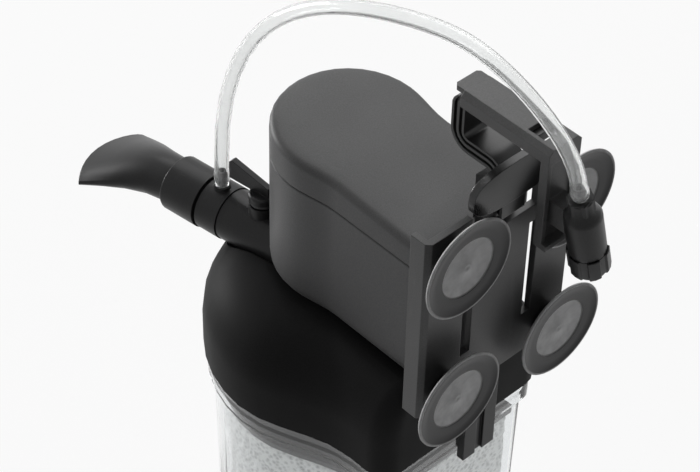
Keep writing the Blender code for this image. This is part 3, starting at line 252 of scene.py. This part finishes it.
def studio_world():
    """Dim to the object, and plain white to the camera, in gloss and through clear plastic."""
    world = bpy.data.worlds.new("studio")
    world.use_nodes = True
    tree = world.node_tree
    dim = tree.nodes["Background"]
    dim.inputs["Color"].default_value = WHITE
    dim.inputs["Strength"].default_value = WORLD_WHITE
    white = tree.nodes.new("ShaderNodeBackground")
    white.inputs["Color"].default_value = WHITE
    mix = tree.nodes.new("ShaderNodeMixShader")
    tree.links.new(seen_directly(tree), mix.inputs["Fac"])
    tree.links.new(dim.outputs["Background"], mix.inputs[1])
    tree.links.new(white.outputs["Background"], mix.inputs[2])
    tree.links.new(mix.outputs["Shader"], tree.nodes["World Output"].inputs["Surface"])
    return world


def seen_directly(tree):
    """1 for rays from the camera, in gloss and through clear plastic too, and 0 for scattered light."""
    path = tree.nodes.new("ShaderNodeLightPath")
    seen = path.outputs["Is Camera Ray"]
    for name in ("Is Transmission Ray", "Is Glossy Ray"):
        seen = joined(tree, "MAXIMUM", seen, path.outputs[name])
    return seen


def add_light():
    bpy.context.scene.world = studio_world()
    for name, spot, size, power in LAMPS:
        data = bpy.data.lights.new(name, "AREA")
        data.size = size
        data.energy = power
        lamp = bpy.data.objects.new(name, data)
        lamp.location = spot
        lamp.rotation_euler = (LAMP_AIM - Vector(spot)).to_track_quat("-Z", "Y").to_euler()
        bpy.context.scene.collection.objects.link(lamp)
    bpy.context.scene.view_settings.view_transform = "Standard"


# Mesh helpers

def mesh_object(name, mesh):
    """A new object made from the mesh, which is then freed."""
    data = bpy.data.meshes.new(name)
    mesh.to_mesh(data)
    mesh.free()
    obj = bpy.data.objects.new(name, data)
    bpy.context.scene.collection.objects.link(obj)
    return obj


def skin(mesh, rings, wraps):
    """Faces between neighbouring rings of vertices, and back to the first ring if it wraps."""
    pairs = list(zip(rings, rings[1:]))
    if wraps:
        pairs.append((rings[-1], rings[0]))
    for low, high in pairs:
        for i in range(len(low)):
            corners = [low[i - 1], low[i], high[i], high[i - 1]]
            mesh.faces.new(list(dict.fromkeys(corners)))


def smoothed(obj, angle=SMOOTH_ANGLE):
    """The same piece, shaded smoothly across edges that bend less than the angle."""
    obj.data.shade_smooth()
    obj.data.set_sharp_from_angle(angle=angle)
    return obj


# Node helpers

def new_material(name):
    """A new material, its node tree and its main shader."""
    material = bpy.data.materials.new(name)
    material.use_nodes = True
    tree = material.node_tree
    return material, tree, tree.nodes["Principled BSDF"]


def joined(tree, operation, first, second):
    """Two values put together, each a number or another node's output."""
    node = tree.nodes.new("ShaderNodeMath")
    node.operation = operation
    for socket, value in zip(node.inputs, (first, second)):
        if isinstance(value, (int, float)):
            socket.default_value = value
        else:
            tree.links.new(value, socket)
    return node.outputs["Value"]


def noise(tree, size, detail=2.0, stretch=(1.0, 1.0, 1.0)):
    """Noise whose blotches are about this size, in the piece's own frame."""
    place = tree.nodes.new("ShaderNodeTexCoord")
    scale = tree.nodes.new("ShaderNodeMapping")
    scale.inputs["Scale"].default_value = stretch
    tree.links.new(place.outputs["Object"], scale.inputs["Vector"])
    texture = tree.nodes.new("ShaderNodeTexNoise")
    texture.inputs["Scale"].default_value = 1 / size
    texture.inputs["Detail"].default_value = detail
    tree.links.new(scale.outputs["Vector"], texture.inputs["Vector"])
    return texture.outputs["Fac"]


def pores(tree, size):
    """Round cells of about this size: 0 in the middle of each, and more towards its walls."""
    place = tree.nodes.new("ShaderNodeTexCoord")
    texture = tree.nodes.new("ShaderNodeTexVoronoi")
    texture.inputs["Scale"].default_value = 1 / size
    tree.links.new(place.outputs["Object"], texture.inputs["Vector"])
    return texture.outputs["Distance"]


def from_axis(tree):
    """How far a point of the piece is from the piece's own Z axis, and how far along it."""
    place = tree.nodes.new("ShaderNodeTexCoord")
    flat = tree.nodes.new("ShaderNodeVectorMath")
    flat.operation = "MULTIPLY"
    flat.inputs[1].default_value = (1.0, 1.0, 0.0)
    tree.links.new(place.outputs["Object"], flat.inputs[0])
    out = tree.nodes.new("ShaderNodeVectorMath")
    out.operation = "LENGTH"
    tree.links.new(flat.outputs["Vector"], out.inputs[0])
    split = tree.nodes.new("ShaderNodeSeparateXYZ")
    tree.links.new(place.outputs["Object"], split.inputs["Vector"])
    return out.outputs["Value"], split.outputs["Z"]


def spread(tree, value, low, high, start=NOISE_RANGE[0], end=NOISE_RANGE[1]):
    """Goes from low to high as the value goes from start to end, and stays level beyond them."""
    node = tree.nodes.new("ShaderNodeMapRange")
    node.inputs["From Min"].default_value = start
    node.inputs["From Max"].default_value = end
    node.inputs["To Min"].default_value = low
    node.inputs["To Max"].default_value = high
    tree.links.new(value, node.inputs["Value"])
    return node.outputs["Result"]


def shade(tree, value, dark, light):
    """A colour that goes from dark to light as the value goes from 0 to 1."""
    node = tree.nodes.new("ShaderNodeMix")
    node.data_type = "RGBA"
    tree.links.new(value, node.inputs["Factor"])
    node.inputs["A"].default_value = (*dark, 1.0)
    node.inputs["B"].default_value = (*light, 1.0)
    return node.outputs["Result"]


def tinted(tree, value, colour, factors):
    """The colour times a factor that goes from the first to the second as the value goes from 0 to 1."""
    dark, light = (tuple(channel * factor for channel in colour) for factor in factors)
    return shade(tree, value, dark, light)


def bumps(tree, shader, height, depth):
    """Bumps of this depth on the shader's surface."""
    bump = tree.nodes.new("ShaderNodeBump")
    bump.inputs["Distance"].default_value = depth
    tree.links.new(height, bump.inputs["Height"])
    tree.links.new(bump.outputs["Normal"], shader.inputs["Normal"])
    return bump


def rough_surface(tree, shader, height, depth, edge):
    """Bumps of this depth over edges that are softened by this radius."""
    soft = tree.nodes.new("ShaderNodeBevel")
    soft.samples = EDGE_SAMPLES
    soft.inputs["Radius"].default_value = edge
    bump = bumps(tree, shader, height, depth)
    tree.links.new(soft.outputs["Normal"], bump.inputs["Normal"])


# Materials

def moulded(name, colour, rough, sheen, grain, depth, worn=0.0):
    """Moulded plastic: a grain of this size and depth in millimetres, slight clouding and pale scuffs."""
    material, tree, shader = new_material(name)
    clouds = noise(tree, CLOUD_SIZE, detail=3.0)
    fine = noise(tree, grain * MM)
    clouding = spread(tree, clouds, 0.0, CLOUD_SHARE)
    mottle = joined(tree, "ADD", clouding, spread(tree, fine, 0.0, 1 - CLOUD_SHARE))
    rubs = noise(tree, SCUFF_SIZE, detail=4.0, stretch=SCUFF_STRETCH)
    scuffs = spread(tree, rubs, 0.0, worn, *SCUFF_RANGE)
    tint = tinted(tree, joined(tree, "ADD", mottle, scuffs), colour, PLASTIC_SHADES)
    tree.links.new(tint, shader.inputs["Base Color"])
    gloss = spread(tree, clouds, rough - PLASTIC_SWING, rough + PLASTIC_SWING)
    dulled = joined(tree, "ADD", gloss, joined(tree, "MULTIPLY", scuffs, SCUFF_DULLING))
    tree.links.new(dulled, shader.inputs["Roughness"])
    shader.inputs["Specular IOR Level"].default_value = sheen
    rough_surface(tree, shader, fine, depth * MM, PLASTIC_EDGE)
    return material


def cup_clear():
    """Clear moulded plastic with faint flow lines and a little haze."""
    material, tree, shader = new_material("cup_clear")
    flow = noise(tree, FLOW_SIZE, stretch=FLOW_STRETCH)
    tint = tinted(tree, spread(tree, flow, 0.0, 1.0), CLEAR_TINT, CLEAR_SHADES)
    tree.links.new(tint, shader.inputs["Base Color"])
    tree.links.new(spread(tree, flow, *CLEAR_ROUGHNESS), shader.inputs["Roughness"])
    shader.inputs["Transmission Weight"].default_value = 1.0
    shader.inputs["IOR"].default_value = CLEAR_IOR
    bumps(tree, shader, flow, FLOW_DEPTH)
    return material


def seal_rubber():
    """Soft rubber, cloudy and finely grained."""
    material, tree, shader = new_material("seal_rubber")
    clouds = noise(tree, SEAL_CLOUD, detail=3.0)
    fine = noise(tree, SEAL_GRAIN)
    tint = tinted(tree, spread(tree, clouds, 0.0, 1.0), SEAL_BLACK, RUBBER_SHADES)
    tree.links.new(tint, shader.inputs["Base Color"])
    tree.links.new(spread(tree, fine, *SEAL_ROUGHNESS), shader.inputs["Roughness"])
    rough_surface(tree, shader, fine, SEAL_DEPTH, SEAL_EDGE)
    return material


def cup_rubber():
    """Painted light: a smooth, dark sealing ring, and a dull hollow and thin rim made pale with painted
    reflection, as a clear cup shows on glass.
    """
    material, tree, shader = new_material("cup_rubber")
    radius, height = from_axis(tree)
    inside = spread(tree, radius, 1.0, 0.0, CUP_HOLLOW_RADIUS - CUP_BLUR, CUP_HOLLOW_RADIUS + CUP_BLUR)
    on_face = spread(tree, height, 1.0, 0.0, CUP_FACE_DEPTH, CUP_FACE_DEPTH + CUP_BLUR)
    hollow = joined(tree, "MULTIPLY", inside, on_face)
    rim = spread(tree, radius, 0.0, RIM_REFLECTION_PALENESS, CUP_RIM_RADIUS, CUP_RIM_RADIUS + 2 * CUP_BLUR)
    # Painted reflection on the hollow and rim, in uneven patches
    reflection_patches = spread(tree, noise(tree, REFLECTION_PATCH_SIZE, detail=4.0), REFLECTION_PATCH_LEAST, 1.0)
    pale = joined(tree, "MULTIPLY", joined(tree, "MAXIMUM", hollow, rim), reflection_patches)
    tree.links.new(shade(tree, pale, *CUP_RING_AND_REFLECTION_COLOURS), shader.inputs["Base Color"])
    tree.links.new(spread(tree, pale, *CUP_ROUGHNESS, 0.0, 1.0), shader.inputs["Roughness"])
    shader.inputs["Specular IOR Level"].default_value = CUP_SHEEN
    rough_surface(tree, shader, noise(tree, CUP_GRAIN), CUP_DEPTH, CUP_EDGE)
    return material


def foam_fibre():
    """Pale open foam, with painted shade where a pore goes in."""
    material, tree, shader = new_material("foam_fibre")
    holes = pores(tree, FOAM_PORE / 2)
    # Painted shade: darker towards the middle of each pore
    light = spread(tree, holes, 0.0, 1.0, *FOAM_PORE_SHADE_RANGE)
    tree.links.new(shade(tree, light, *FOAM_PORE_SHADE_COLOURS), shader.inputs["Base Color"])
    shader.inputs["Roughness"].default_value = FOAM_ROUGHNESS
    bumps(tree, shader, holes, FOAM_BUMP)
    return material


def hose_vinyl():
    """Soft clear vinyl, a little milky."""
    material, tree, shader = new_material("hose_vinyl")
    haze = noise(tree, HAZE_SIZE, detail=3.0)
    milk = spread(tree, haze, 0.0, 1.0)
    tree.links.new(shade(tree, milk, *HOSE_COLOURS), shader.inputs["Base Color"])
    tree.links.new(spread(tree, haze, *HOSE_ROUGHNESS), shader.inputs["Roughness"])
    shader.inputs["Transmission Weight"].default_value = HOSE_CLEARNESS
    shader.inputs["IOR"].default_value = HOSE_IOR
    return material


def machined(name, colours, rough, metallic):
    """Metal or sintered material with a fine turned or ground grain."""
    material, tree, shader = new_material(name)
    lines = noise(tree, METAL_LINE, detail=3.0, stretch=METAL_STRETCH)
    tree.links.new(shade(tree, spread(tree, lines, 0.0, 1.0), *colours), shader.inputs["Base Color"])
    gloss = spread(tree, lines, rough - METAL_SWING, rough + METAL_SWING)
    tree.links.new(gloss, shader.inputs["Roughness"])
    shader.inputs["Metallic"].default_value = metallic
    rough_surface(tree, shader, lines, METAL_DEPTH, METAL_EDGE)
    return material


# Looks of the CAD nodes

def slot_looks():
    """The material for each of the record's slots, apart from the foam's and the hose's."""
    return {
        "clear_smoke": cup_clear(),
        "black_plastic": moulded("black_satin", BLACK, 0.36, sheen=0.18, grain=0.5, depth=0.02, worn=0.6),
        "head_grey": moulded("head_grey", HEAD_GREY, 0.46, sheen=0.24, grain=0.45, depth=0.035),
        "clip_grey": moulded("clip_grey", CLIP_GREY, 0.45, sheen=0.32, grain=0.5, depth=0.02, worn=0.8),
        "rubber": seal_rubber(),
        "potted_core": moulded("potting_resin", RESIN_BROWN, 0.5, sheen=0.5, grain=1.5, depth=0.05),
        "magnet": machined("ferrite", FERRITE_COLOURS, rough=0.5, metallic=0.3),
        "ceramic": machined("ceramic", CERAMIC_COLOURS, rough=0.2, metallic=0.0),
        "brass_pin": machined("brass", BRASS_COLOURS, rough=0.3, metallic=1.0),
    }


def node_looks():
    """The lid is duller than its slot and darker, partly with painted shade, and the strap darker and
    glossier.
    """
    return {
        # Painted shade in part: the lid's black is darker than its slot's
        "filter_lid": moulded("lid_shaded_black", LID_SHADED_BLACK, 0.58, sheen=0.07, grain=0.6, depth=0.03, worn=0.3),
        "rim_strap": moulded("strap_black", STRAP_BLACK, 0.3, sheen=0.34, grain=0.5, depth=0.015, worn=0.5),
    }


def dress_nodes():
    """Each CAD node gets its own look or its slot's, and smooth round faces."""
    by_slot = slot_looks()
    by_node = node_looks()
    joining = joining_group()
    for row in frame["record"]["subparts"]:
        look = by_node.get(row["node"]) or by_slot.get(row["material_slot"])
        if look:
            node = NODES[row["node"]]
            node.material_slots[0].material = look
            round_off(node, joining)


def round_off(node, joining):
    """Shades across the facets of a CAD node up to a clear edge, with modifiers alone."""
    node.modifiers.new("joining", "NODES").node_group = joining
    split = node.modifiers.new("edges", "EDGE_SPLIT")
    split.split_angle = SMOOTH_ANGLE
    weighted = node.modifiers.new("flats", "WEIGHTED_NORMAL")
    weighted.keep_sharp = True


def joining_group():
    """Joins the facets' corners again, drops the normals and edges they came with, and smooths them."""
    group = bpy.data.node_groups.new("joining", "GeometryNodeTree")
    for way in ("INPUT", "OUTPUT"):
        group.interface.new_socket("Geometry", in_out=way, socket_type="NodeSocketGeometry")
    merge = group.nodes.new("GeometryNodeMergeByDistance")
    merge.inputs["Distance"].default_value = WELD_DISTANCE
    chain = [group.nodes.new("NodeGroupInput"), merge]
    for name in ("custom_normal", "sharp_edge"):
        drop = group.nodes.new("GeometryNodeRemoveAttribute")
        drop.inputs["Name"].default_value = name
        chain.append(drop)
    chain.append(group.nodes.new("GeometryNodeSetShadeSmooth"))
    chain.append(group.nodes.new("NodeGroupOutput"))
    for before, after in zip(chain, chain[1:]):
        group.links.new(before.outputs["Geometry"], after.inputs["Geometry"])
    return group


# Hose

def bezier(pulls, share):
    """The point at this share of the way along the curve that the pulls shape."""
    points = list(pulls)
    while len(points) > 1:
        points = [a.lerp(b, share) for a, b in zip(points, points[1:])]
    return points[0]


def hose_route():
    """The middle of the hose from over the outlet's nipple to over the valve's."""
    rising = HOSE_LEAVES + UP * HOSE_RISE
    falling = HOSE_LANDS + VALVE_UP * HOSE_FALL
    pulls = [HOSE_LEAVES, rising, *HOSE_PULLS, falling, HOSE_LANDS]
    first = HOSE_START - UP * HOSE_OVER_START
    last = HOSE_END - VALVE_UP * HOSE_OVER_END
    return [first, *(bezier(pulls, i / HOSE_PIECES) for i in range(HOSE_PIECES + 1)), last]


def evenly(points, step):
    """The same line with points about a step apart."""
    made = [points[0]]
    for start, end in zip(points, points[1:]):
        count = max(1, round((end - start).length / step))
        made += [start.lerp(end, (i + 1) / count) for i in range(count)]
    return made


def swell(travelled, length):
    """How much the hose is stretched over a barb near either end."""
    spots = (HOSE_OVER_START - BARB_FROM_TIP, length - HOSE_OVER_END + BARB_FROM_TIP)
    reach = max(0.0, 1 - min(abs(travelled - spot) for spot in spots) / BARB_REACH)
    return BARB_SWELL * math.sin(reach * math.pi / 2) ** 2


def hose_ring(mesh, spot, side, ahead, radius):
    """A ring of vertices round one spot of the route."""
    across = ahead.cross(side)
    ring = []
    for i in range(HOSE_SIDES):
        angle = 2 * math.pi * i / HOSE_SIDES
        ring.append(mesh.verts.new(spot + (side * math.cos(angle) + across * math.sin(angle)) * radius))
    return ring


def add_hose():
    """A hollow clear tube, stretched over the barb at each end."""
    route = evenly(hose_route(), HOSE_STEP)
    length = sum((b - a).length for a, b in zip(route, route[1:]))
    mesh = bmesh.new()
    outer, inner = [], []
    side = Vector((1.0, 0.0, 0.0))
    travelled = 0.0
    for i, spot in enumerate(route):
        ahead = route[min(i + 1, len(route) - 1)] - route[max(i - 1, 0)]
        ahead.normalize()
        side = (side - ahead * side.dot(ahead)).normalized()
        travelled += (spot - route[max(i - 1, 0)]).length
        more = swell(travelled, length)
        outer.append(hose_ring(mesh, spot, side, ahead, HOSE_RADIUS + more))
        inner.append(hose_ring(mesh, spot, side, ahead, HOSE_BORE + more))
    skin(mesh, outer + inner[::-1], True)
    bmesh.ops.recalc_face_normals(mesh, faces=mesh.faces)
    hose = smoothed(mesh_object("clear_air_hose", mesh))
    hose.data.materials.append(hose_vinyl())
    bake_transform(hose)
    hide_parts("air_hose")


# Suction cups

def turned(name, profile, sides):
    """A profile of (radius, height) in millimetres turned about Z."""
    mesh = bmesh.new()
    rings = []
    for radius, height in profile:
        if radius == 0.0:
            rings.append([mesh.verts.new((0.0, 0.0, height * MM))] * sides)
            continue
        out = radius * MM
        ring = []
        for i in range(sides):
            angle = 2 * math.pi * i / sides
            ring.append(mesh.verts.new((out * math.cos(angle), out * math.sin(angle), height * MM)))
        rings.append(ring)
    skin(mesh, rings, False)
    bmesh.ops.recalc_face_normals(mesh, faces=mesh.faces)
    return mesh_object(name, mesh)


def add_cups():
    """A smooth cup in the place of each suction cup's solid, its face on the glass."""
    look = cup_rubber()
    facing = Matrix.Rotation(-math.pi / 2, 4, "X")
    for number in range(1, CUP_COUNT + 1):
        node = f"suction_cup_{number}"
        low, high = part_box(node)
        middle = (low + high) / 2
        cup = smoothed(turned(f"rubber_cup_{number}", CUP_BACK + CUP_FACE, CUP_SIDES), CUP_SMOOTH_ANGLE)
        cup.matrix_world = Matrix.Translation((middle.x, low.y, middle.z)) @ facing
        cup.data.materials.append(look)
        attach(cup, "holder")
        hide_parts(node)


# Foam

def add_foam():
    """The foam block with an open surface, whose pits go inwards only."""
    foam = bpy.data.objects.new("filter_foam", NODES["foam_block"].data.copy())
    bpy.context.scene.collection.objects.link(foam)
    weld = foam.modifiers.new("weld", "WELD")
    weld.merge_threshold = WELD_DISTANCE
    remesh = foam.modifiers.new("cells", "REMESH")
    remesh.mode = "VOXEL"
    remesh.voxel_size = FOAM_VOXEL
    texture = bpy.data.textures.new("foam_pores", "VORONOI")
    texture.noise_scale = FOAM_PORE
    pits = foam.modifiers.new("pits", "DISPLACE")
    pits.texture = texture
    pits.strength = FOAM_DEPTH
    pits.mid_level = 1.0
    bpy.context.view_layer.update()
    evaluated = foam.evaluated_get(bpy.context.evaluated_depsgraph_get())
    foam.data = bpy.data.meshes.new_from_object(evaluated)
    foam.modifiers.clear()
    foam.data.materials.clear()
    foam.data.materials.append(foam_fibre())
    smoothed(foam, math.pi)
    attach(foam, "canister")
    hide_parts("foam_block")


add_camera()
add_floor()
add_light()
dress_nodes()
add_hose()
add_cups()
add_foam()
